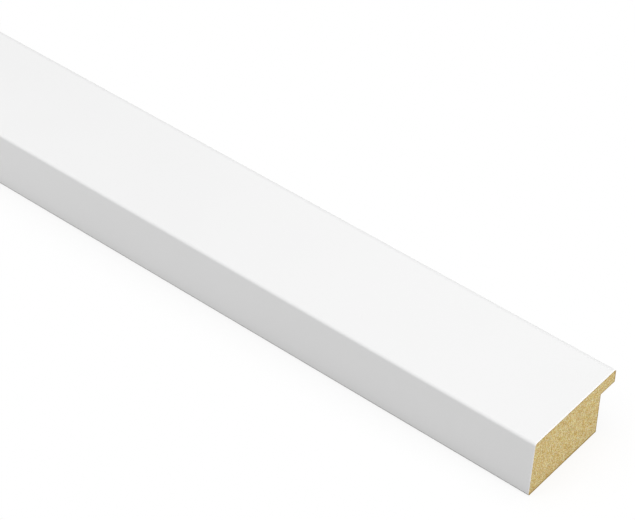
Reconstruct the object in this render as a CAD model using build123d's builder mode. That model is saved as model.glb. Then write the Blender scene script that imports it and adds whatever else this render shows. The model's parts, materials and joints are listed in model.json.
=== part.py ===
"""Square-cut length of flat picture frame moulding: an MDF core wrapped in white foil.

Lies on its back as on a level floor, face up. X runs along the stick, the outer
side is at -Y and the sight edge, with the rabbet under its lip, is at +Y.
"""

import os
from math import atan2, cos

from build123d import *

# Driving dimensions, in millimetres
length = 1000.0  # square-cut at both ends
width = 40.0  # foot of the outer side to sight edge, over the foil
height = 20.0  # underside to face, over the foil
outer_lean = 0.8  # how far the outer side leans in, from its foot to the face
rabbet_width = 7.0  # sight edge to rabbet wall
rabbet_depth = 15.0  # underside to rabbet shelf
edge_radius = 1.0  # both face edges, over the foil
foil_thickness = 0.15  # white foil, glued to the core all over
foil_trim = 0.2  # foil's lower edge on the outer side, above the underside

# Lines of the section that both pieces are drawn from
outer_foot = -width / 2
sight_edge = width / 2
rabbet_wall = sight_edge - rabbet_width


def outer_side(level):
    """Place across the stick of the leaning outer side, over the foil, at a height."""
    return outer_foot + outer_lean * level / height


# Core: one machined length of MDF, its section smaller than the finished one by the foil
core_face = height - foil_thickness
core_sight_edge = sight_edge - foil_thickness
core_inset = foil_thickness / cos(atan2(outer_lean, height))  # foil cut level, on the leaning side

with BuildPart() as mdf_core:
    with BuildSketch(Plane.YZ) as core_section:
        with BuildLine():
            Polyline(
                (outer_side(0) + core_inset, 0),
                (rabbet_wall, 0),
                (rabbet_wall, rabbet_depth),
                (core_sight_edge, rabbet_depth),
                (core_sight_edge, core_face),
                (outer_side(core_face) + core_inset, core_face),
                close=True,
            )
        make_face()
        face_corners = core_section.vertices().group_by(Axis.Y)[-1]
        fillet(face_corners, edge_radius - foil_thickness)
    extrude(amount=length / 2, both=True)
mdf_core.part.label = "mdf_core"

# Foil: one even thickness, up the outer side, over the face and down the sight edge to the lip
with BuildPart() as white_foil:
    with BuildSketch(Plane.YZ):
        with BuildLine():
            FilletPolyline(
                (outer_side(foil_trim), foil_trim),
                (outer_side(height), height),
                (sight_edge, height),
                (sight_edge, rabbet_depth),
                radius=edge_radius,
            )
            offset(amount=foil_thickness, side=Side.RIGHT)
        make_face()
    extrude(amount=length / 2, both=True)
white_foil.part.label = "white_foil"

os.makedirs("parts", exist_ok=True)
export_step(mdf_core.part, "parts/mdf_core.step")
export_step(white_foil.part, "parts/white_foil.step")
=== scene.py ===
"""Dressed model of a square-cut length of flat picture frame moulding.

One MDF core, machined with a rabbet under its inner lip, is wrapped in white foil.
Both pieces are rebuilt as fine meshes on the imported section: the saw-cut ends get
their fibre relief, the foil its true cut edge and smooth rounded edges.
"""

import json
import logging
import math
from dataclasses import dataclass
from enum import Enum
from typing import Any

import bmesh
import bpy
from mathutils import Matrix, Vector, noise


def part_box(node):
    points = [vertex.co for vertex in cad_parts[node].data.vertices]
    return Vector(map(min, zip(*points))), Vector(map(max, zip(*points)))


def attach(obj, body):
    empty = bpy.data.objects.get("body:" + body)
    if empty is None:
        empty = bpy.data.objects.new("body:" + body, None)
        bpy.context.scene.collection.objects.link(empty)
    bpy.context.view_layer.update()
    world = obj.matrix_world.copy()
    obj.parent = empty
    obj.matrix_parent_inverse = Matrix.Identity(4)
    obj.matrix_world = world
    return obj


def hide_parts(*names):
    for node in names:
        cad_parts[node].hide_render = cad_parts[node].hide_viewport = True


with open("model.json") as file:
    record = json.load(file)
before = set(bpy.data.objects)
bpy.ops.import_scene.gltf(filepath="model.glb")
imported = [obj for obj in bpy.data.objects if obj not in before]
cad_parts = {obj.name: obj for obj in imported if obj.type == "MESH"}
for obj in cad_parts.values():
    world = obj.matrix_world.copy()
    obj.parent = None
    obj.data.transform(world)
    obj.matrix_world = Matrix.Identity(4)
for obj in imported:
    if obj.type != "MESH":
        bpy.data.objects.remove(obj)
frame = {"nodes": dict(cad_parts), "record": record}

MM = 0.001
log = logging.getLogger("moulding")


class CutEnd(Enum):
    """The two saw-cut ends, by the direction they face along X."""

    NEAR = 1
    FAR = -1


class CoreFace(Enum):
    """How a face of the core was made, which is also its material index."""

    SAWN = 0
    MACHINED = 1


class CoreSide(Enum):
    """The core's long sides, and how many rows each is cut into in its baked map.

    They are met in this order going round the section from its lower outer corner.
    """

    UNDERSIDE = ("underside", 4)
    WALL = ("rabbet wall", 2)
    SHELF = ("rabbet shelf", 2)
    LIP = ("lip edge", 1)
    FACE = ("face", 1)
    OUTER = ("outer side", 1)

    @property
    def rows(self) -> int:
        """Rows that the side's length is cut into."""
        return self.value[1]


@dataclass(frozen=True)
class Section:
    """The moulding's packed section and length, in metres.

    Y runs from the outer side to the sight edge and Z from the underside to the face.
    The outer side leans in towards the face, by an angle from upright in radians. Its
    foot is eased over the foil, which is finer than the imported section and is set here.
    """

    near: float
    far: float
    outer: float
    sight: float
    wall: float
    shelf: float
    face: float
    foil: float
    trim: float
    lean: float
    edge_radius: float
    foot_radius: float = 0.6 * MM

    @classmethod
    def packed(cls) -> "Section":
        """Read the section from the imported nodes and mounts.

        Returns:
            The section of the part as packed.
        """
        core_low, core_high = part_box("mdf_core")
        foil_low, foil_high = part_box("white_foil")
        mounts = {mount["name"]: mount["pos_m"] for mount in frame["record"]["mounts"]}
        skin = frame["nodes"]["white_foil"].data
        foot = min((vertex.co for vertex in skin.vertices), key=lambda place: place.y)
        outer_half = [polygon for polygon in skin.polygons if polygon.center.y < 0]
        outer_side = min(outer_half, key=lambda polygon: polygon.normal.y)
        side_top = max(skin.vertices[index].co.z for index in outer_side.vertices)
        lean = math.asin(outer_side.normal.z)
        return cls(
            near=foil_high.x,
            far=foil_low.x,
            outer=foot.y - foot.z * math.tan(lean),
            sight=foil_high.y,
            wall=mounts["rabbet_wall"][1],
            shelf=mounts["rabbet_shelf"][2],
            face=foil_high.z,
            foil=foil_high.z - core_high.z,
            trim=foot.z - core_low.z,
            lean=lean,
            edge_radius=(foil_high.z - side_top) / (1 - math.sin(lean)),
        )

    @property
    def length(self) -> float:
        """Length of the stick."""
        return self.near - self.far

    def leant(self, z: float) -> float:
        """How far the outer side has leant in at a height."""
        return z * math.tan(self.lean)

    @property
    def core_outer(self) -> float:
        """Y of the foot of the core's outer side, under the foil."""
        return self.outer + self.foil / math.cos(self.lean)

    @property
    def core_sight(self) -> float:
        """Y of the core's lip edge, under the foil."""
        return self.sight - self.foil

    @property
    def core_face(self) -> float:
        """Z of the core's face, under the foil."""
        return self.face - self.foil

    @property
    def core_radius(self) -> float:
        """Radius of the core's two face edges."""
        return self.edge_radius - self.foil

    @property
    def core_foot(self) -> float:
        """Radius of the core's eased foot, under the foil."""
        return self.foot_radius - self.foil


def divided(breaks: list[float], step: float) -> list[float]:
    """Cut each stretch between neighbouring values into equal parts.

    Args:
        breaks: rising values that stay in the result.
        step: the longest part allowed.

    Returns:
        The values and those between them.
    """
    rounding = 1e-6
    values = [breaks[0]]
    for low, high in zip(breaks, breaks[1:]):
        count = max(1, math.ceil((high - low) / step - rounding))
        values += [low + (high - low) * i / count for i in range(1, count)]
        values.append(high)
    return values


def stations(section: Section, crowded: list[float], step: float) -> list[float]:
    """Places along the stick where a ring of vertices stands, from far to near.

    Args:
        section: gives the two ends.
        crowded: distances from each end that get a ring of their own.
        step: the longest stretch between rings.

    Returns:
        X values, from the far end to the near one.
    """
    breaks = [section.far, *(section.far + d for d in crowded)]
    breaks += [*(section.near - d for d in reversed(crowded)), section.near]
    return divided(breaks, step)


def finished_object(
    name: str, bm: bmesh.types.BMesh, materials: list[bpy.types.Material]
) -> bpy.types.Object:
    """Turn a bmesh into an object in the scene, smooth but for its true arrises.

    Args:
        name: the piece's name.
        bm: the mesh, which is freed.
        materials: its material slots, in order.

    Returns:
        The new object.
    """
    sharp_angle = math.radians(40)
    bm.normal_update()
    mesh = bpy.data.meshes.new(name)
    bm.to_mesh(mesh)
    bm.free()
    for material in materials:
        mesh.materials.append(material)
    mesh.polygons.foreach_set("use_smooth", [True] * len(mesh.polygons))
    mesh.set_sharp_from_angle(angle=sharp_angle)
    piece = bpy.data.objects.new(name, mesh)
    bpy.context.scene.collection.objects.link(piece)
    return piece


class Wiring:
    """A node tree being wired, with short calls for adding and joining nodes."""

    def __init__(self, tree: bpy.types.NodeTree) -> None:
        """Keep the tree, emptied of its first nodes."""
        self.tree = tree
        tree.nodes.clear()

    def add(self, kind: str, settings: dict[str, Any] | None = None, **inputs: Any) -> bpy.types.Node:
        """Add a node.

        Args:
            kind: the node's type name after ShaderNode, or a full type name.
            settings: node properties to set before its sockets.
            **inputs: socket values or output sockets, by socket name with _ for a space.

        Returns:
            The new node.
        """
        full = kind if kind.startswith("Node") else "ShaderNode" + kind
        node = self.tree.nodes.new(full)
        for key, value in (settings or {}).items():
            setattr(node, key, value)
        for key, value in inputs.items():
            self.feed(node.inputs[key.replace("_", " ")], value)
        return node

    def feed(self, socket: bpy.types.NodeSocket, value: Any) -> None:
        """Link an output socket to an input, or set the input's own value.

        Args:
            socket: the input.
            value: an output socket or a plain value.
        """
        if isinstance(value, bpy.types.NodeSocket):
            self.tree.links.new(value, socket)
        else:
            socket.default_value = value

    def math(self, operation: str, *values: Any) -> bpy.types.NodeSocket:
        """Add a Math node.

        Args:
            operation: its operation, such as MULTIPLY.
            *values: numbers or sockets, in socket order.

        Returns:
            Its output.
        """
        node = self.tree.nodes.new("ShaderNodeMath")
        node.operation = operation
        for socket, value in zip(node.inputs, values):
            self.feed(socket, value)
        return node.outputs[0]

    def ramp(
        self, value: Any, low: float, high: float, start: float = 0.0, end: float = 1.0
    ) -> bpy.types.NodeSocket:
        """Map a value smoothly from one range to another.

        Args:
            value: the number or socket that is mapped.
            low: the value that gives start.
            high: the value that gives end.
            start: the result at and below low.
            end: the result at and above high.

        Returns:
            The mapped value.
        """
        node = self.add("MapRange", {"interpolation_type": "SMOOTHSTEP"})
        for socket, given in zip(node.inputs, (value, low, high, start, end)):
            self.feed(socket, given)
        return node.outputs[0]

    def mix(self, share: Any, first: Any, second: Any, blend: str = "MIX") -> bpy.types.NodeSocket:
        """Mix two colours.

        Args:
            share: how much of the second, from 0 to 1.
            first: the colour that share 0 gives.
            second: the colour mixed in.
            blend: the blend type.

        Returns:
            The mixed colour.
        """
        node = self.add("Mix", {"data_type": "RGBA", "blend_type": blend})
        self.feed(node.inputs[0], share)
        self.feed(node.inputs[6], first)
        self.feed(node.inputs[7], second)
        return node.outputs[2]

    def stretched(self, vector: Any, scale: tuple[float, float, float]) -> bpy.types.NodeSocket:
        """Scale a vector along each axis.

        Args:
            vector: the vector's socket.
            scale: factors along X, Y and Z.

        Returns:
            The scaled vector.
        """
        node = self.add("VectorMath", {"operation": "MULTIPLY"})
        self.feed(node.inputs[0], vector)
        self.feed(node.inputs[1], scale)
        return node.outputs[0]

    def parts(self, kind: str, value: bpy.types.NodeSocket) -> Any:
        """Take a vector or a colour apart.

        Args:
            kind: SeparateXYZ or SeparateColor.
            value: the vector or colour.

        Returns:
            The node's outputs, which give the parts by name.
        """
        node = self.add(kind)
        self.feed(node.inputs[0], value)
        return node.outputs


def new_group(name: str, inputs: dict[str, tuple[str, Any]], outputs: list[str]) -> tuple[Wiring, Any, Any]:
    """Start a shader node group.

    Args:
        name: the group's name.
        inputs: socket name to its type and default, where a vector has no default.
        outputs: names of the values that it puts out.

    Returns:
        Its wiring, its input node and its output node.
    """
    tree = bpy.data.node_groups.new(name, "ShaderNodeTree")
    for label, (kind, default) in inputs.items():
        socket = tree.interface.new_socket(label, in_out="INPUT", socket_type=kind)
        if default is not None:
            socket.default_value = default
    for label in outputs:
        tree.interface.new_socket(label, in_out="OUTPUT", socket_type="NodeSocketFloat")
    wiring = Wiring(tree)
    return wiring, wiring.add("NodeGroupInput"), wiring.add("NodeGroupOutput")


def fibre_group() -> bpy.types.NodeTree:
    """Wood fibre as it shows in MDF: a fine felted tone, with darker and paler flecks.

    Returns:
        A group with inputs Vector, in metres, and Size, the width of a fibre bundle,
        and outputs Tone, Hue, Blush, Dark and Pale, each from 0 to 1, and Height, which
        is from 0 to 1 in the felt and falls to -1 in a dark fleck.
    """
    felt_range = (0.38, 0.62)
    clump_range = (0.3, 0.7)
    clump_scale = 0.22
    clump_share = 0.2
    fleck_scale = 0.5
    fleck_edge = (0.15, 0.45)
    dark_above = 0.8
    pale_below = 0.08
    labels = ["Tone", "Hue", "Blush", "Dark", "Pale", "Height"]
    w, given, out = new_group(
        "Fibre fleck",
        {"Vector": ("NodeSocketVector", None), "Size": ("NodeSocketFloat", 0.4 * MM)},
        labels,
    )
    place = given.outputs["Vector"]
    scale = w.math("DIVIDE", 1.0, given.outputs["Size"])
    felt = w.add("TexNoise", Vector=place, Scale=scale)
    strands = w.parts("SeparateColor", felt.outputs["Color"])
    fine, hue, blush = (w.ramp(strands[part], *felt_range) for part in ("Red", "Green", "Blue"))
    clump = w.add("TexNoise", Vector=place, Scale=w.math("MULTIPLY", scale, clump_scale))
    broad = w.ramp(clump.outputs["Fac"], *clump_range)
    fleck = w.add("TexVoronoi", Vector=place, Scale=w.math("MULTIPLY", scale, fleck_scale))
    lot = w.parts("SeparateColor", fleck.outputs["Color"])["Red"]
    spot = w.ramp(fleck.outputs["Distance"], *fleck_edge, 1.0, 0.0)
    dark = w.math("MULTIPLY", spot, w.math("GREATER_THAN", lot, dark_above))
    pale = w.math("MULTIPLY", spot, w.math("LESS_THAN", lot, pale_below))
    fine_part = w.math("MULTIPLY", fine, 1.0 - clump_share)
    tone = w.math("ADD", fine_part, w.math("MULTIPLY", broad, clump_share))
    height = w.math("SUBTRACT", fine, dark)
    for label, value in zip(labels, (tone, hue, blush, dark, pale, height)):
        w.feed(out.inputs[label], value)
    return w.tree


def drift_group() -> bpy.types.NodeTree:
    """Slow change of tone over a surface, as in fibreboard and foil.

    Returns:
        A group with inputs Vector, in metres, and Size, the width of a patch, and the
        output Drift, from 0 to 1.
    """
    patch_range = (0.25, 0.75)
    w, given, out = new_group(
        "Slow drift",
        {"Vector": ("NodeSocketVector", None), "Size": ("NodeSocketFloat", 30 * MM)},
        ["Drift"],
    )
    scale = w.math("DIVIDE", 1.0, given.outputs["Size"])
    patch = w.add("TexNoise", Vector=given.outputs["Vector"], Scale=scale)
    w.feed(out.inputs["Drift"], w.ramp(patch.outputs["Fac"], *patch_range))
    return w.tree


@dataclass(frozen=True)
class Effects:
    """The node groups that more than one finish uses."""

    fibre: bpy.types.NodeTree
    drift: bpy.types.NodeTree


Colour = tuple[float, float, float, float]
Range = tuple[float, float]


def new_material(name: str) -> tuple[bpy.types.Material, Wiring, bpy.types.Node]:
    """Start a material with a Principled BSDF.

    Args:
        name: the material's name.

    Returns:
        The material, its wiring and the shader node.
    """
    material = bpy.data.materials.new(name)
    material.use_nodes = True
    w = Wiring(material.node_tree)
    shader = w.add("BsdfPrincipled")
    w.add("OutputMaterial", Surface=shader.outputs[0])
    return material, w, shader


@dataclass(frozen=True)
class FoilFinish:
    """Smooth white wrapping foil, matt to satin, with painted shade and a painted highlight near its edges,
    and fibre dust where it is sawn.

    It has a painted shadow at its trimmed foot where it meets the floor, painted shade over the
    rounded sight edge as it turns away from the light, a painted highlight beside the saw cuts
    where the cut edge catches the light, and fibre dust on its sawn edge. A reach is a distance
    from those places, and a facing is a part of the surface's normal.
    """

    white: Colour = (0.86, 0.86, 0.86, 1.0)
    shade: Colour = (0.845, 0.845, 0.845, 1.0)
    # painted shadow: grey at the foil's foot, standing for the contact shadow at the floor
    painted_foot_shadow: Colour = (0.42, 0.42, 0.42, 1.0)
    painted_foot_shadow_reach: Range = (0.5 * MM, 0.8 * MM)
    # painted shade: greyer over the rounded sight edge, where it turns away from the light
    painted_sight_edge_shade: Colour = (0.81, 0.81, 0.81, 1.0)
    painted_sight_edge_shade_reach: Range = (0.8 * MM, 1.9 * MM)
    painted_sight_edge_shade_facing: Range = (0.2, 0.6)
    # painted highlight: whiter foil beside each saw cut, where the cut edge catches the light
    painted_cut_highlight: Colour = (0.895, 0.895, 0.895, 1.0)
    painted_cut_highlight_reach: Range = (0.3 * MM, 0.6 * MM)
    dust: Colour = (0.5, 0.37, 0.17, 1.0)
    dust_share: float = 0.8
    dust_facing: Range = (0.5, 0.9)
    patch_size: float = 60 * MM
    peel_size: float = 0.9 * MM
    peel_range: Range = (0.3, 0.7)
    peel_height: float = 0.004 * MM
    roughness: Range = (0.42, 0.5)
    ior: float = 1.45

    def material(self, section: Section, effects: Effects) -> bpy.types.Material:
        """Wire the foil's material.

        Args:
            section: gives the sight edge and the saw cuts.
            effects: the shared node groups.

        Returns:
            The material.
        """
        material, w, shader = new_material("white_foil")
        coords = w.add("TexCoord").outputs
        place = coords["Object"]
        axes = w.parts("SeparateXYZ", place)
        facing = w.parts("SeparateXYZ", coords["Normal"])
        from_sight = w.math("SUBTRACT", section.sight, axes["Y"])
        from_cut = w.math("SUBTRACT", section.near, w.math("ABSOLUTE", axes["X"]))
        # painted shade over the sight edge, on faces that tilt back towards it
        over_edge = w.ramp(from_sight, *self.painted_sight_edge_shade_reach, 1.0, 0.0)
        painted_sight_edge_shade = w.math("MULTIPLY", over_edge, w.ramp(facing["Z"], *self.painted_sight_edge_shade_facing))
        # painted highlight along the saw cuts
        painted_cut_highlight = w.ramp(from_cut, *self.painted_cut_highlight_reach, 1.0, 0.0)
        # painted shadow along the foot, darkest at the floor
        painted_foot_shadow = w.ramp(axes["Z"], *self.painted_foot_shadow_reach, 1.0, 0.0)
        dusted = w.ramp(w.math("ABSOLUTE", facing["X"]), *self.dust_facing, 0.0, self.dust_share)
        drift = w.add("Group", {"node_tree": effects.drift}, Vector=place, Size=self.patch_size)
        colour = w.mix(drift.outputs["Drift"], self.white, self.shade)
        # mix in the painted sight edge shade
        colour = w.mix(painted_sight_edge_shade, colour, self.painted_sight_edge_shade)
        # mix in the painted cut highlight
        colour = w.mix(painted_cut_highlight, colour, self.painted_cut_highlight)
        # mix in the painted foot shadow
        colour = w.mix(painted_foot_shadow, colour, self.painted_foot_shadow)
        w.feed(shader.inputs["Base Color"], w.mix(dusted, colour, self.dust))
        peel = w.add("TexNoise", Vector=place, Scale=1.0 / self.peel_size).outputs["Fac"]
        w.feed(shader.inputs["Roughness"], w.ramp(peel, *self.peel_range, *self.roughness))
        bump = w.add("Bump", Strength=1.0, Distance=self.peel_height, Height=peel)
        w.feed(shader.inputs["Normal"], bump.outputs[0])
        shader.inputs["IOR"].default_value = self.ior
        return material


@dataclass(frozen=True)
class SawnFinish:
    """Saw-cut MDF: felted tan fibre, with a browner rim where faces were compressed or glued, and faint
    painted shade towards its foot.
    """

    pale: Colour = (0.666, 0.584, 0.324, 1.0)
    tan: Colour = (0.434, 0.271, 0.061, 1.0)
    yellow_tint: Colour = (1.050, 1.025, 0.866, 1.0)
    grey_tint: Colour = (0.950, 0.975, 1.134, 1.0)
    rose_tint: Colour = (1.042, 0.945, 1.020, 1.0)
    green_tint: Colour = (0.958, 1.055, 0.980, 1.0)
    dark_fleck: Colour = (0.31, 0.165, 0.035, 1.0)
    pale_fleck: Colour = (0.72, 0.64, 0.4, 1.0)
    rim: Colour = (0.32, 0.205, 0.045, 1.0)
    fibre_size: float = 0.37 * MM
    layer_stretch: tuple[float, float, float] = (1.0, 0.73, 1.0)
    rim_width: float = 0.35 * MM
    foot_rim_width: float = 0.65 * MM
    rim_core: float = 0.75
    rim_strength: float = 1.0
    # painted shade: the cut darkens slightly towards its foot, standing for the floor's shade there
    painted_floor_shade_depth: float = 3.5 * MM
    painted_floor_shade_strength: float = 0.02
    relief: float = 0.03 * MM
    relief_strength: float = 0.6
    roughness: float = 0.85
    specular: float = 0.25

    def material(self, section: Section, effects: Effects) -> bpy.types.Material:
        """Wire the sawn ends' material.

        Args:
            section: gives the edges that the rim follows.
            effects: the shared node groups.

        Returns:
            The material.
        """
        material, w, shader = new_material("mdf_sawn")
        place = w.add("TexCoord").outputs["Object"]
        layered = w.stretched(place, self.layer_stretch)
        fibre = w.add("Group", {"node_tree": effects.fibre}, Vector=layered, Size=self.fibre_size)
        tint = w.mix(fibre.outputs["Hue"], self.grey_tint, self.yellow_tint)
        colour = w.mix(fibre.outputs["Tone"], self.tan, self.pale)
        colour = w.mix(1.0, colour, tint, "MULTIPLY")
        blush = w.mix(fibre.outputs["Blush"], self.green_tint, self.rose_tint)
        colour = w.mix(1.0, colour, blush, "MULTIPLY")
        colour = w.mix(fibre.outputs["Dark"], colour, self.dark_fleck)
        colour = w.mix(fibre.outputs["Pale"], colour, self.pale_fleck)
        axes = w.parts("SeparateXYZ", place)
        y, z = axes["Y"], axes["Z"]
        # painted shade towards the foot of the cut, in the rim's colour
        painted_floor_shade = w.ramp(z, 0.0, self.painted_floor_shade_depth, self.painted_floor_shade_strength, 0.0)
        colour = w.mix(painted_floor_shade, colour, self.rim)
        from_edge = self.edge_distance(w, y, z, section)
        rim = w.ramp(from_edge, self.rim_core * self.rim_width, self.rim_width, self.rim_strength, 0.0)
        w.feed(shader.inputs["Base Color"], w.mix(rim, colour, self.rim))
        shader.inputs["Roughness"].default_value = self.roughness
        shader.inputs["Specular IOR Level"].default_value = self.specular
        height = fibre.outputs["Height"]
        bump = w.add("Bump", Strength=self.relief_strength, Distance=self.relief, Height=height)
        w.feed(shader.inputs["Normal"], bump.outputs[0])
        return material

    def edge_distance(self, w: Wiring, y: Any, z: Any, section: Section) -> bpy.types.NodeSocket:
        """Distance from a point of the cut to the nearest face with a rim, all but the outer side.

        The rim at the foot is wider, so distances from the underside count for less.

        Args:
            w: the material's wiring.
            y: the point's place across the section, in metres.
            z: its height, in metres.
            section: gives the core's faces.

        Returns:
            The distance, in metres.
        """
        from_wall = w.math("SUBTRACT", section.wall, y)
        from_shelf = w.math("SUBTRACT", z, section.shelf)
        from_sight = w.math("SUBTRACT", section.core_sight, y)
        from_face = w.math("SUBTRACT", section.core_face, z)
        from_foot = w.math("MULTIPLY", z, self.rim_width / self.foot_rim_width)
        nearest = w.math("MAXIMUM", from_wall, from_shelf)
        for distance in (from_sight, from_face, from_foot):
            nearest = w.math("MINIMUM", nearest, distance)
        return nearest


@dataclass(frozen=True)
class MachinedFinish:
    """Planed and routed MDF: closed, browner fibre lying flat, with faint knife marks."""

    pale: Colour = (0.56, 0.44, 0.215, 1.0)
    tan: Colour = (0.47, 0.35, 0.155, 1.0)
    dark_fleck: Colour = (0.38, 0.26, 0.11, 1.0)
    fibre_size: float = 0.5 * MM
    patch_size: float = 45 * MM
    patch_share: float = 0.25
    knife_pitch: float = 1.4 * MM
    knife_height: float = 0.004 * MM
    knife_strength: float = 0.5
    tone_range: Range = (0.2, 0.8)
    roughness: Range = (0.62, 0.75)
    specular: float = 0.3

    def material(self, effects: Effects) -> bpy.types.Material:
        """Wire the machined faces' material.

        Args:
            effects: the shared node groups.

        Returns:
            The material.
        """
        material, w, shader = new_material("mdf_machined")
        place = w.add("TexCoord").outputs["Object"]
        fibre = w.add("Group", {"node_tree": effects.fibre}, Vector=place, Size=self.fibre_size)
        drift = w.add("Group", {"node_tree": effects.drift}, Vector=place, Size=self.patch_size)
        fibre_tone = w.math("MULTIPLY", fibre.outputs["Tone"], 1.0 - self.patch_share)
        tone = w.math("MULTIPLY_ADD", drift.outputs["Drift"], self.patch_share, fibre_tone)
        colour = w.mix(tone, self.tan, self.pale)
        w.feed(shader.inputs["Base Color"], w.mix(fibre.outputs["Dark"], colour, self.dark_fleck))
        w.feed(shader.inputs["Roughness"], w.ramp(tone, *self.tone_range, *self.roughness))
        shader.inputs["Specular IOR Level"].default_value = self.specular
        along = w.parts("SeparateXYZ", place)["X"]
        knife = w.math("SINE", w.math("MULTIPLY", along, math.tau / self.knife_pitch))
        bump = w.add("Bump", Strength=self.knife_strength, Distance=self.knife_height, Height=knife)
        w.feed(shader.inputs["Normal"], bump.outputs[0])
        return material


@dataclass
class BakeSheet:
    """Lays the core's sides out in one square map, so that the sawn ends keep their fibre.

    Lengths on the sheet are in pixels of the map. The two ends lie side by side along its
    lower edge, and each long side, cut into rows of the sheet's width, lies above them.
    """

    section: Section
    size: float = 1024.0
    gap: float = 4.0
    end_scale: float = 12.0 / MM

    def row(self, side: CoreSide, x: float) -> int:
        """Which of a side's rows holds a place along the stick."""
        return int((self.section.near - x) / self.section.length * side.rows)

    def row_scale(self, side: CoreSide) -> float:
        """Pixels to a metre in a side's rows."""
        return (self.size - 2 * self.gap) * side.rows / self.section.length

    def row_base(self, side: CoreSide, row: int) -> float:
        """Height on the sheet of the lower edge of one of a side's rows.

        Args:
            side: the side.
            row: which of its rows.

        Returns:
            The height, in pixels.
        """
        s = self.section
        widths = {
            CoreSide.UNDERSIDE: s.wall - s.core_outer,
            CoreSide.WALL: s.shelf,
            CoreSide.SHELF: s.core_sight - s.wall,
            CoreSide.LIP: s.core_face - s.shelf,
            CoreSide.FACE: s.core_sight - s.core_outer,
            CoreSide.OUTER: s.core_face,
        }
        base = self.gap + s.core_face * self.end_scale + self.gap
        for lower, width in widths.items():
            row_height = width * self.row_scale(lower) + self.gap
            if lower is side:
                break
            base += lower.rows * row_height
        return base + row * row_height

    def on_side(self, side: CoreSide, row: int, x: float, across: float) -> tuple[float, float]:
        """Place of a long side's point on the sheet.

        Args:
            side: the side.
            row: the row that the point's face is in.
            x: place along the stick.
            across: distance across the side.

        Returns:
            U and V, from 0 to 1.
        """
        along = self.section.near - x - row * self.section.length / side.rows
        u = self.gap + along * self.row_scale(side)
        v = self.row_base(side, row) + across * self.row_scale(side)
        return u / self.size, v / self.size

    def on_end(self, end: CutEnd, y: float, z: float) -> tuple[float, float]:
        """Place of a sawn end's point on the sheet.

        Args:
            end: which end.
            y: place across the section.
            z: height in the section.

        Returns:
            U and V, from 0 to 1.
        """
        u = self.gap + (y - self.section.core_outer) * self.end_scale
        v = self.gap + z * self.end_scale
        if end is CutEnd.FAR:
            u = self.size - u
        return u / self.size, v / self.size


Key = tuple[int, int]
Place = tuple[float, float]


@dataclass(frozen=True)
class RoundedCorner:
    """A rounded outside corner of the core's section, by its arc and the way it faces."""

    centre: Place
    facing: tuple[int, int]
    radius: float

    def rounded(self, y: float, z: float) -> Place:
        """Move a grid point of the corner's square on to its quarter disc.

        Args:
            y: place on the square grid.
            z: height on the square grid.

        Returns:
            The place in the rounded section, which is the same away from the corner.
        """
        across = (y - self.centre[0]) * self.facing[0] / self.radius
        up = (z - self.centre[1]) * self.facing[1] / self.radius
        if min(across, up) <= 0:
            return y, z
        out_y = self.facing[0] * self.radius * across * math.sqrt(1 - up * up / 2)
        out_z = self.facing[1] * self.radius * up * math.sqrt(1 - across * across / 2)
        return self.centre[0] + out_y, self.centre[1] + out_z


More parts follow.
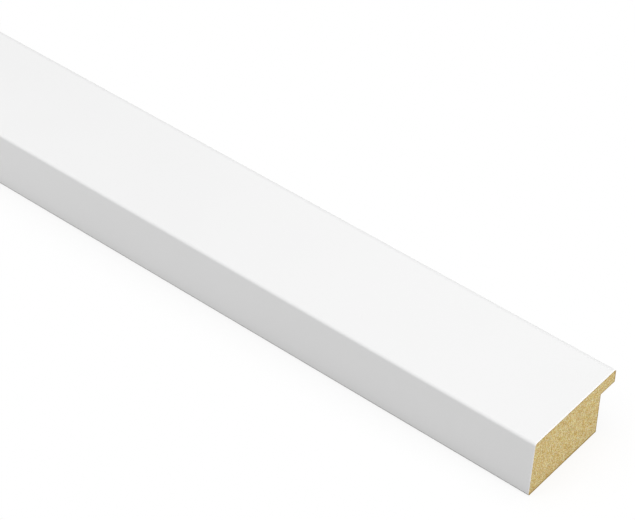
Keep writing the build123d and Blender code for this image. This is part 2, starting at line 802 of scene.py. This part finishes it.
@dataclass
class MdfCore:
    """The machined MDF core, with fibre relief on its two saw-cut ends."""

    section: Section
    grid: float = 0.2 * MM
    ring_step: float = 25 * MM
    fuzz_size: float = 0.5 * MM
    fuzz_height: float = 0.025 * MM
    fuzz_decay: float = 1.0
    fuzz_growth: float = 2.0
    fuzz_octaves: int = 3
    pit_size: float = 1.1 * MM
    pit_depth: float = 0.06 * MM
    pit_onset: float = 0.45
    pit_seed: float = 5.0
    end_seed: float = 3.7
    kerf_pitch: float = 1.3 * MM
    kerf_height: float = 0.005 * MM
    blade_radius: float = 150 * MM
    weld: float = 0.001 * MM

    def relief(self, y: float, z: float, end: CutEnd) -> float:
        """Height of the sawn surface above the cut plane.

        Args:
            y: place across the section.
            z: height in the section.
            end: which cut it is on.

        Returns:
            The height, out of the stick, in metres.
        """
        seed = self.end_seed * end.value
        spot = Vector((y, z, 0.0))
        fuzz_spot = spot / self.fuzz_size + Vector((0, 0, seed))
        pit_spot = spot / self.pit_size + Vector((0, 0, self.pit_seed + seed))
        fuzz = noise.fractal(fuzz_spot, self.fuzz_decay, self.fuzz_growth, self.fuzz_octaves)
        pit = max(0.0, noise.noise(pit_spot) - self.pit_onset)
        arc = math.hypot(y - self.section.outer, z + self.blade_radius)
        kerf = math.sin(math.tau * arc / self.kerf_pitch)
        rough = self.fuzz_height * fuzz - self.pit_depth * pit + self.kerf_height * kerf
        return rough - 2 * self.fuzz_height

    def rounded(self, y: float, z: float) -> Place:
        """Round a grid point with the two face edges and the foot of the outer side.

        Args:
            y: place on the square grid.
            z: height on the square grid.

        Returns:
            The place in the rounded section.
        """
        s, r, f = self.section, self.section.core_radius, self.section.core_foot
        corners = (
            RoundedCorner((s.core_outer + r, s.core_face - r), (-1, 1), r),
            RoundedCorner((s.core_sight - r, s.core_face - r), (1, 1), r),
            RoundedCorner((s.core_outer + f, f), (-1, -1), f),
        )
        for corner in corners:
            y, z = corner.rounded(y, z)
        return y, z

    def leaning(self, y: float, z: float) -> Place:
        """Lean a point of the upright section with the outer side, less towards the rabbet wall.

        Args:
            y: place across the upright section.
            z: height in the section.

        Returns:
            The place in the leaning section.
        """
        s = self.section
        share = max(0.0, (s.wall - y) / (s.wall - s.core_outer))
        return y + share * s.leant(z), z

    def build(self) -> bmesh.types.BMesh:
        """Build the closed mesh: two gridded ends, joined by rings along the stick.

        Returns:
            The mesh, with sawn and machined faces told apart by material index.
        """
        s, r, f = self.section, self.section.core_radius, self.section.core_foot
        outer_breaks = [s.core_outer, s.core_outer + f, s.core_outer + r]
        ys = divided([*outer_breaks, s.wall, s.core_sight - r, s.core_sight], self.grid)
        zs = divided([0.0, f, s.shelf, s.core_face - r, s.core_face], self.grid)
        bm = bmesh.new()
        bm.loops.layers.uv.new("OFBake")
        wall_at, shelf_at = ys.index(s.wall), zs.index(s.shelf)
        solid = [(i, j) for i in range(len(ys)) for j in range(len(zs)) if i <= wall_at or j >= shelf_at]
        places = {(i, j): self.leaning(*self.rounded(ys[i], zs[j])) for i, j in solid}
        caps = {end: self.cap(bm, places, end) for end in CutEnd}
        sides = self.sides(len(ys) - 1, len(zs) - 1, wall_at, shelf_at)
        for side, keys in sides.items():
            line = [places[key] for key in keys]
            edges = {end: [caps[end][key] for key in keys] for end in CutEnd}
            self.wrap(bm, side, line, edges)
        bmesh.ops.remove_doubles(bm, verts=bm.verts[:], dist=self.weld)
        bmesh.ops.recalc_face_normals(bm, faces=bm.faces[:])
        return bm

    def cap(self, bm: bmesh.types.BMesh, places: dict[Key, Place], end: CutEnd) -> dict[Key, Any]:
        """Add one sawn end.

        Args:
            bm: the mesh that it joins.
            places: grid key to place in the section.
            end: which end.

        Returns:
            Grid key to vertex.
        """
        sheet = BakeSheet(self.section)
        uv = bm.loops.layers.uv["OFBake"]
        x = self.section.near if end is CutEnd.NEAR else self.section.far
        verts = {}
        for key, (y, z) in places.items():
            verts[key] = bm.verts.new((x + end.value * self.relief(y, z, end), y, z))
        for i, j in places:
            corners = [(i, j), (i + 1, j), (i + 1, j + 1), (i, j + 1)]
            if all(c in verts for c in corners):
                face = bm.faces.new([verts[c] for c in corners])
                face.material_index = CoreFace.SAWN.value
                for loop, corner in zip(face.loops, corners):
                    loop[uv].uv = sheet.on_end(end, *places[corner])
        return verts

    def sides(self, last_i: int, last_j: int, wall_at: int, shelf_at: int) -> dict[CoreSide, list[Key]]:
        """Grid keys along each long side of the section, both its corners among them.

        Args:
            last_i: last column of the grid.
            last_j: last row of the grid.
            wall_at: column of the rabbet wall.
            shelf_at: row of the rabbet shelf.

        Returns:
            The keys by side, going round from the lower outer corner.
        """
        return {
            CoreSide.UNDERSIDE: [(i, 0) for i in range(wall_at + 1)],
            CoreSide.WALL: [(wall_at, j) for j in range(shelf_at + 1)],
            CoreSide.SHELF: [(i, shelf_at) for i in range(wall_at, last_i + 1)],
            CoreSide.LIP: [(last_i, j) for j in range(shelf_at, last_j + 1)],
            CoreSide.FACE: [(i, last_j) for i in range(last_i, -1, -1)],
            CoreSide.OUTER: [(0, j) for j in range(last_j, -1, -1)],
        }

    def wrap(
        self,
        bm: bmesh.types.BMesh,
        side: CoreSide,
        line: list[Place],
        edges: dict[CutEnd, list[Any]],
    ) -> None:
        """Add one long side, as rows of faces between the two sawn ends.

        Args:
            bm: the mesh that it joins.
            side: which side.
            line: places across the side, in the section.
            edges: the vertices of each sawn end along that line.
        """
        sheet = BakeSheet(self.section)
        uv = bm.loops.layers.uv["OFBake"]
        xs = stations(self.section, [], self.ring_step)
        rings = [[bm.verts.new((x, *place)) for place in line] for x in xs[1:-1]]
        rings = [edges[CutEnd.FAR], *rings, edges[CutEnd.NEAR]]
        across = [0.0]
        for place, following in zip(line, line[1:]):
            across.append(across[-1] + math.dist(place, following))
        for i in range(len(xs) - 1):
            row = sheet.row(side, (xs[i] + xs[i + 1]) / 2)
            for k in range(len(line) - 1):
                corners = [(i, k), (i, k + 1), (i + 1, k + 1), (i + 1, k)]
                face = bm.faces.new([rings[ring][spot] for ring, spot in corners])
                face.material_index = CoreFace.MACHINED.value
                for loop, (ring, spot) in zip(face.loops, corners):
                    loop[uv].uv = sheet.on_side(side, row, xs[ring], across[spot])

    def dress(self, sawn: bpy.types.Material, machined: bpy.types.Material) -> bpy.types.Object:
        """Make the piece, finish it and put it in the core's place.

        Args:
            sawn: material of the cut ends.
            machined: material of the other faces.

        Returns:
            The piece.
        """
        piece = finished_object("fibre_core", self.build(), [sawn, machined])
        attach(piece, "root")
        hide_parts("mdf_core")
        return piece


@dataclass
class WhiteFoil:
    """The wrapping foil, one even thickness from the outer side's foot to the lip."""

    section: Section
    run_step: float = 0.5 * MM
    arc_parts: int = 16
    ring_step: float = 25 * MM
    arris_depth: float = 0.08 * MM
    arris_run: float = 0.3 * MM
    arris_parts: int = 4
    ragged: float = 0.04 * MM
    ragged_size: float = 0.8 * MM
    ragged_reach: float = 0.6 * MM
    further_rings: Range = (3 * MM, 10 * MM)

    def crowded(self) -> list[float]:
        """Where rings stand close together, round a cut's eased arris and then further apart.

        Returns:
            Distances from the cut.
        """
        turns = [math.pi / 2 * i / self.arris_parts for i in range(1, self.arris_parts + 1)]
        arris = [self.arris_run * (1 - math.cos(turn)) for turn in turns]
        return [*arris, self.ragged_reach, *self.further_rings]

    def from_cut(self, x: float) -> float:
        """Distance from a place along the stick to the nearer cut."""
        return min(x - self.section.far, self.section.near - x)

    def drawn_in(self, x: float) -> float:
        """How far the eased arris of a cut draws the outer surface in at a place along the stick."""
        left = max(0.0, 1 - self.from_cut(x) / self.arris_run)
        return self.arris_depth * (1 - math.sqrt(1 - left**2))

    def path(self) -> list[tuple[Vector, Vector]]:
        """Follow the foil's outer surface across the section.

        Returns:
            Points of the section and their outward normals, as vectors of Y and Z.
        """
        s, r, f = self.section, self.section.edge_radius, self.section.foot_radius
        outward = Vector((-math.cos(s.lean), math.sin(s.lean)))
        right, up = Vector((1, 0)), Vector((0, 1))
        low = s.face - r
        foot_centre = Vector((s.outer + s.leant(f) + f / math.cos(s.lean), f))
        outer_centre = Vector((s.outer + s.leant(low) + r / math.cos(s.lean), low))
        sight_centre = Vector((s.sight - r, low))
        level = 180.0 - math.degrees(s.lean)
        lower_edge = 180.0 + math.degrees(math.asin((f - s.trim) / f))
        points = self.arc(foot_centre, f, lower_edge, level)
        rising = divided([f + f * outward.y, low + r * outward.y], self.run_step)
        points += [(Vector((s.outer + s.leant(z), z)), outward) for z in rising]
        points += self.arc(outer_centre, r, level, 90.0)[1:]
        over = divided([outer_centre.x, sight_centre.x], self.run_step)
        points += [(Vector((y, s.face)), up) for y in over]
        points += self.arc(sight_centre, r, 90.0, 0.0)[1:]
        falling = reversed(divided([s.shelf, low], self.run_step))
        points += [(Vector((s.sight, z)), right) for z in falling]
        return points

    def arc(self, centre: Vector, radius: float, start: float, end: float) -> list[tuple[Vector, Vector]]:
        """Points of a rounded edge.

        Args:
            centre: the arc's centre.
            radius: its radius.
            start: its first angle, in degrees from +Y towards +Z.
            end: its last angle.

        Returns:
            Points and normals, without the last, which the run that follows gives.
        """
        points = []
        for i in range(self.arc_parts):
            angle = math.radians(start + (end - start) * i / self.arc_parts)
            normal = Vector((math.cos(angle), math.sin(angle)))
            points.append((centre + normal * radius, normal))
        return points

    def cut_place(self, x: float, point: Vector) -> float:
        """X of a ring's vertex, which the saw leaves a little short of a cut close by.

        Args:
            x: the ring's place along the stick.
            point: the vertex's place in the section.

        Returns:
            Its place along the stick.
        """
        end = CutEnd.NEAR if x > (self.section.near + self.section.far) / 2 else CutEnd.FAR
        spot = Vector((point.x, point.y, end.value * self.ragged_size)) / self.ragged_size
        share = max(0.0, 1.0 - self.from_cut(x) / self.ragged_reach)
        return x - end.value * share * self.ragged * abs(noise.noise(spot))

    def build(self) -> bmesh.types.BMesh:
        """Build the foil as a closed band, outer and inner surface with cut edges.

        Returns:
            The mesh.
        """
        s = self.section
        bm = bmesh.new()
        path = self.path()
        inner = [point - normal * s.foil for point, normal in reversed(path)]
        rings = []
        for x in stations(s, self.crowded(), self.ring_step):
            outer = [point - normal * self.drawn_in(x) for point, normal in path]
            rings.append([bm.verts.new((self.cut_place(x, p), p.x, p.y)) for p in outer + inner])
        for ring, following in zip(rings, rings[1:]):
            for k in range(len(ring)):
                n = (k + 1) % len(ring)
                bm.faces.new((ring[k], ring[n], following[n], following[k]))
        for ring in (rings[0], rings[-1]):
            for k in range(len(path) - 1):
                bm.faces.new((ring[k], ring[k + 1], ring[-2 - k], ring[-1 - k]))
        bmesh.ops.recalc_face_normals(bm, faces=bm.faces[:])
        return bm

    def dress(self, material: bpy.types.Material) -> bpy.types.Object:
        """Make the piece, finish it and put it in the foil's place.

        Args:
            material: the foil's material.

        Returns:
            The piece.
        """
        piece = finished_object("foil_wrap", self.build(), [material])
        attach(piece, "root")
        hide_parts("white_foil")
        return piece


@dataclass(frozen=True)
class Softbox:
    """A square studio lamp, which faces a place along the stick.

    Its station is the distance of that place from the near end, and the lamp stands
    towards a direction from it, at a distance. All lengths are in metres.
    """

    name: str
    station: float
    towards: tuple[float, float, float]
    distance: float
    side: float
    watts: float

    def light(self, section: Section) -> bpy.types.Object:
        """Add the lamp.

        Args:
            section: gives the near end, which the station is measured from.

        Returns:
            The lamp's object.
        """
        lamp = bpy.data.lights.new(self.name, "AREA")
        lamp.shape = "SQUARE"
        lamp.size = self.side
        lamp.energy = self.watts
        holder = bpy.data.objects.new(self.name, lamp)
        way = Vector(self.towards).normalized()
        middle = (section.outer + section.sight) / 2
        holder.location = Vector((section.near - self.station, middle, section.face)) + way * self.distance
        holder.rotation_mode = "QUATERNION"
        holder.rotation_quaternion = (-way).to_track_quat("-Z", "Y")
        bpy.context.scene.collection.objects.link(holder)
        return holder


@dataclass
class Studio:
    """White floor, even surroundings and soft lamps.

    The floor shows as white paper with the stick's shadow, and glows to pure white as
    it fades out. It throws less light back than it shows, and next to the stick hardly any:
    a painted contact shadow in the colour it bounces, which darkens the stick's foot.
    """

    section: Section
    floor_half: float = 12.0
    floor_parts: int = 8
    sky: float = 0.7
    bounce: Colour = (0.32, 0.32, 0.32, 1.0)
    # painted shadow: the floor's bounce colour is almost black next to the stick
    painted_contact_shadow: Colour = (0.02, 0.02, 0.02, 1.0)
    painted_contact_shadow_reach: Range = (0.0, 4.5 * MM)
    paper: Colour = (0.97, 0.97, 0.97, 1.0)
    glow: Range = (0.82, 1.0)
    fade: Range = (0.0, 30 * MM)

    def lamps(self) -> list[Softbox]:
        """The lamps: one above the face, one before each cut and one that fills the outer side.

        Returns:
            The lamps, not yet in the scene.
        """
        far = self.section.length
        return [
            Softbox("overhead", 60 * MM, (0.0, 0.2, 0.98), distance=0.7, side=0.5, watts=1.1),
            Softbox("near_cut", 0.0, (0.97, 0.05, 0.22), distance=1.0, side=0.4, watts=5.65),
            Softbox("far_cut", far, (-0.97, 0.05, 0.22), distance=1.0, side=0.4, watts=5.65),
            Softbox("front_fill", 250 * MM, (-0.45, -0.85, 0.3), distance=1.2, side=0.6, watts=3.58),
        ]

    def light(self) -> None:
        """Add the floor, the surroundings and the lamps."""
        self.floor()
        self.surroundings()
        for lamp in self.lamps():
            lamp.light(self.section)

    def seen_directly(self, w: Wiring) -> bpy.types.NodeSocket:
        """Whether a ray shows its surface in the picture, straight or by reflection.

        Args:
            w: the wiring of the floor or the surroundings.

        Returns:
            1 where it does, and 0 where it only carries light.
        """
        path = w.add("LightPath").outputs
        seen = w.math("MAXIMUM", path["Is Camera Ray"], path["Is Glossy Ray"])
        return w.math("MAXIMUM", seen, path["Is Transmission Ray"])

    def off_stick(self, w: Wiring) -> bpy.types.NodeSocket:
        """Distance of a point of the floor from the stick's footprint.

        Args:
            w: the floor's wiring.

        Returns:
            The distance, in metres.
        """
        s = self.section
        axes = w.parts("SeparateXYZ", w.add("TexCoord").outputs["Object"])
        past_end = w.math("SUBTRACT", w.math("ABSOLUTE", axes["X"]), s.near)
        across = w.math("SUBTRACT", axes["Y"], (s.outer + s.wall) / 2)
        past_side = w.math("SUBTRACT", w.math("ABSOLUTE", across), (s.wall - s.outer) / 2)
        past = w.add("CombineXYZ", X=w.math("MAXIMUM", past_end, 0.0), Y=w.math("MAXIMUM", past_side, 0.0))
        away = w.add("VectorMath", {"operation": "LENGTH"})
        w.feed(away.inputs[0], past.outputs[0])
        return away.outputs["Value"]

    def floor(self) -> None:
        """Add the floor, which takes the stick's shadow and is white further off."""
        bm = bmesh.new()
        parts = self.floor_parts
        bmesh.ops.create_grid(bm, x_segments=parts, y_segments=parts, size=self.floor_half)
        material = bpy.data.materials.new("white_floor")
        material.use_nodes = True
        w = Wiring(material.node_tree)
        away = self.off_stick(w)
        shown = w.add("MixShader", Fac=w.ramp(away, *self.fade, *self.glow))
        w.feed(shown.inputs[1], w.add("BsdfDiffuse", Color=self.paper).outputs[0])
        w.feed(shown.inputs[2], w.add("Emission", Strength=1.0).outputs[0])
        # painted contact shadow: bounced light fades to almost nothing beside the stick
        bounce = w.mix(w.ramp(away, *self.painted_contact_shadow_reach), self.painted_contact_shadow, self.bounce)
        both = w.add("MixShader", Fac=self.seen_directly(w))
        w.feed(both.inputs[1], w.add("BsdfDiffuse", Color=bounce).outputs[0])
        w.feed(both.inputs[2], shown.outputs[0])
        w.add("OutputMaterial", Surface=both.outputs[0])
        finished_object("floor", bm, [material])

    def surroundings(self) -> None:
        """Light the scene evenly from all round, and show white behind it."""
        world = bpy.data.worlds.new("studio")
        world.use_nodes = True
        w = Wiring(world.node_tree)
        strength = w.ramp(self.seen_directly(w), 0.0, 1.0, self.sky, 1.0)
        even = w.add("Background", Color=(1.0, 1.0, 1.0, 1.0), Strength=strength)
        w.add("OutputWorld", Surface=even.outputs[0])
        bpy.context.scene.world = world


@dataclass(frozen=True)
class Viewpoint:
    """Camera that looks down on the face, from the outer side and past the near cut end.

    Angles are in degrees, the lens and its sensor in millimetres, and the rest in metres.
    """

    azimuth: float = 38.61
    elevation: float = 41.53
    roll: float = 1.49
    lens: float = 136.0
    sensor: float = 36.0
    clip_start: float = 10 * MM
    distance: float = 0.7102
    from_near_end: float = 93.54 * MM
    from_outer_side: float = 20.38 * MM

    def aim(self, section: Section) -> Vector:
        """The point of the face that the camera looks at."""
        along, across = section.near - self.from_near_end, section.outer + self.from_outer_side
        return Vector((along, across, section.face))

    def set_up(self, section: Section) -> bpy.types.Object:
        """Add the camera and make it the scene's own.

        Args:
            section: places the point that it looks at.

        Returns:
            The camera's object.
        """
        a, e = math.radians(self.azimuth), math.radians(self.elevation)
        back = Vector((math.sin(a) * math.cos(e), -math.cos(a) * math.cos(e), math.sin(e)))
        level = Vector((math.cos(a), math.sin(a), 0.0))
        right = Matrix.Rotation(math.radians(self.roll), 3, back) @ level
        turned = Matrix((right, back.cross(right), back)).transposed()
        data = bpy.data.cameras.new("viewpoint")
        data.lens = self.lens
        data.sensor_width = self.sensor
        data.clip_start = self.clip_start
        camera = bpy.data.objects.new("viewpoint", data)
        camera.matrix_world = Matrix.Translation(self.aim(section) + back * self.distance) @ turned.to_4x4()
        bpy.context.scene.collection.objects.link(camera)
        bpy.context.scene.camera = camera
        return camera


def report(piece: bpy.types.Object) -> None:
    """Log a piece's name and how many vertices and faces it has."""
    log.info("%s: %d vertices, %d faces", piece.name, len(piece.data.vertices), len(piece.data.polygons))


def corners(box: tuple[Vector, Vector]) -> list[list[float]]:
    """A box's two corners as plain lists of numbers."""
    return [list(corner) for corner in box]


def main() -> None:
    """Build the moulding's pieces, light them and set up the camera."""
    logging.basicConfig(level=logging.INFO, format="%(name)s: %(message)s")
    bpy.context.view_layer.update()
    section = Section.packed()
    log.info("outer side leans in %.2f mm", section.leant(section.face) / MM)
    log.info("face edges rounded to %.2f mm", section.edge_radius / MM)
    effects = Effects(fibre=fibre_group(), drift=drift_group())
    sawn = SawnFinish().material(section, effects)
    report(MdfCore(section).dress(sawn, MachinedFinish().material(effects)))
    report(WhiteFoil(section).dress(FoilFinish().material(section, effects)))
    Viewpoint().set_up(section)
    Studio(section).light()
    bpy.context.scene.view_settings.view_transform = "Standard"


if __name__ == "__main__":
    main()
